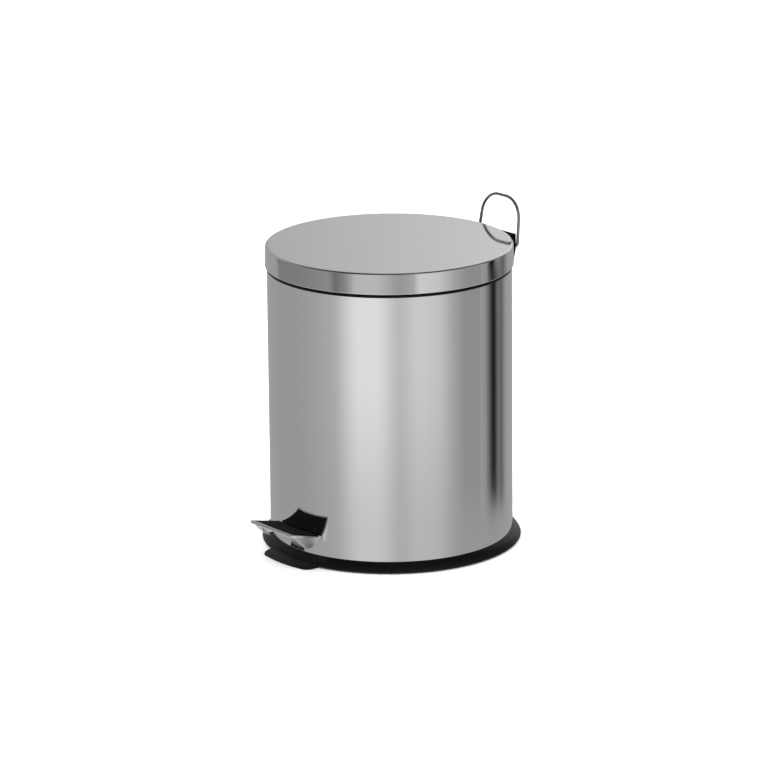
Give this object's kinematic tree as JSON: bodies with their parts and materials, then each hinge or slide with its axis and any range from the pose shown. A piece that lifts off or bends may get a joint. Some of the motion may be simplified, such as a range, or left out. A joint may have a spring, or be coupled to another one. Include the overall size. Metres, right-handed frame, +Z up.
{
  "type": "pedal trash can",
  "caption": "Round polished-steel pedal bin: a foot pedal lifts the hinged lid through a lever and rod; plastic base, lift-out bucket and a wire carry handle at the back.",
  "frame": {"origin": "on the floor at the axis of the round body", "axes": "+Z up along the body's axis, -Y towards the pedal, +Y towards the lid hinge"},
  "size_m": [0.2192, 0.2573, 0.2771],
  "materials": {
    "polished_steel": "mirror-polished stainless steel sheet",
    "chromed_steel": "bright chrome-plated pressing",
    "handle_wire": "bright plated wire",
    "zinc_steel": "zinc-plated steel",
    "black_plastic": "black moulding with a fine grain",
    "bucket_plastic": "dark moulding, satin",
    "washer_plastic": "pale nylon",
    "pedal_rubber": "black pad, satin",
    "black_rubber": "matt black rubber"
  },
  "bodies": {
    "can": {"body_shell": "polished_steel", "bottom_plate": "zinc_steel", "base_ring": "black_plastic", "base_pads": "black_rubber", "rim_collar": "black_plastic", "hinge_housing": "black_plastic", "housing_screws": "zinc_steel", "hinge_pin": "zinc_steel", "pivot_bracket": "zinc_steel", "bracket_rivets": "zinc_steel", "pedal_axle": "zinc_steel", "axle_clips": "zinc_steel", "pivot_washers": "washer_plastic", "rod_guide": "black_plastic"},
    "lid": {"lid_shell": "polished_steel", "lid_bracket": "zinc_steel", "lid_buffers": "black_rubber"},
    "pedal": {"pedal_plate": "chromed_steel", "pedal_pad": "pedal_rubber", "pedal_rivets": "zinc_steel", "pedal_lever": "zinc_steel"},
    "lift_rod": {"lift_rod": "zinc_steel", "rod_clips": "zinc_steel"},
    "bucket": {"inner_bucket": "bucket_plastic"},
    "carry_handle": {"carry_handle": "handle_wire"}
  },
  "joints": [
    {"name": "lid_open", "type": "hinge", "parent": "can", "child": "lid", "pos_m": [0, 0.1085, 0.241], "axis": [-1, 0, 0], "range_deg": [0, 75]},
    {"name": "pedal_press", "type": "hinge", "parent": "can", "child": "pedal", "pos_m": [0, -0.015, 0.024], "axis": [1, 0, 0], "range_deg": [0, 8.58]},
    {"name": "rod_lift", "type": "slide", "parent": "can", "child": "lift_rod", "axis": [0, 0, 1], "range_m": [0, 0.01688]},
    {"name": "bucket_lift", "type": "slide", "parent": "can", "child": "bucket", "axis": [0, 0, 1], "range_m": [0, 0.01]},
    {"name": "carry_handle_swing", "type": "hinge", "parent": "can", "child": "carry_handle", "pos_m": [0, 0.1197, 0.236], "axis": [-1, 0, 0], "range_deg": [0, 165]}
  ],
  "couplings": [
    {"joint": "pedal_press", "follows": "lid_open", "ratio": 0.11442},
    {"joint": "rod_lift", "follows": "lid_open", "m_per_rad": 0.012896}
  ]
}
